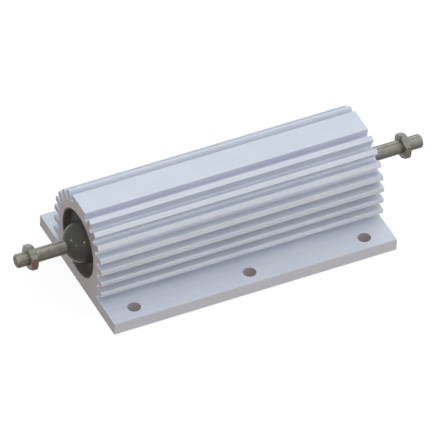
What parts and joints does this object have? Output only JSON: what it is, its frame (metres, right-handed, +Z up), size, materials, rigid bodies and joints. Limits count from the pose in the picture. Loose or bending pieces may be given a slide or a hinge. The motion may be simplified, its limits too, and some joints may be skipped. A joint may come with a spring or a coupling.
{
  "type": "aluminium housed resistor",
  "caption": "Power resistor in a finned aluminium housing, with flat feet for bolting down and a threaded stud with a nut at each end.",
  "frame": {"origin": "centre of the underside of the base", "axes": "+X along the bore to the right-hand stud, +Y across the feet, +Z up out of the mounting face"},
  "size_m": [0.184, 0.0724, 0.0416],
  "materials": {
    "anodised_aluminium": "satin anodised",
    "dark_moulding": "smooth, slightly glossy",
    "ceramic": "unglazed ceramic",
    "resistance_wire": "drawn metal",
    "cap_metal": "pressed metal",
    "stud_metal": "plated, greenish grey",
    "nut_metal": "plated, greenish grey"
  },
  "bodies": {
    "root": {"housing": "anodised_aluminium", "moulding": "dark_moulding", "ceramic_core": "ceramic", "resistance_winding": "resistance_wire", "end_cap_left": "cap_metal", "end_cap_right": "cap_metal", "terminal_stud_left": "stud_metal", "terminal_stud_right": "stud_metal", "terminal_nut_left": "nut_metal", "terminal_nut_right": "nut_metal"}
  },
  "joints": []
}
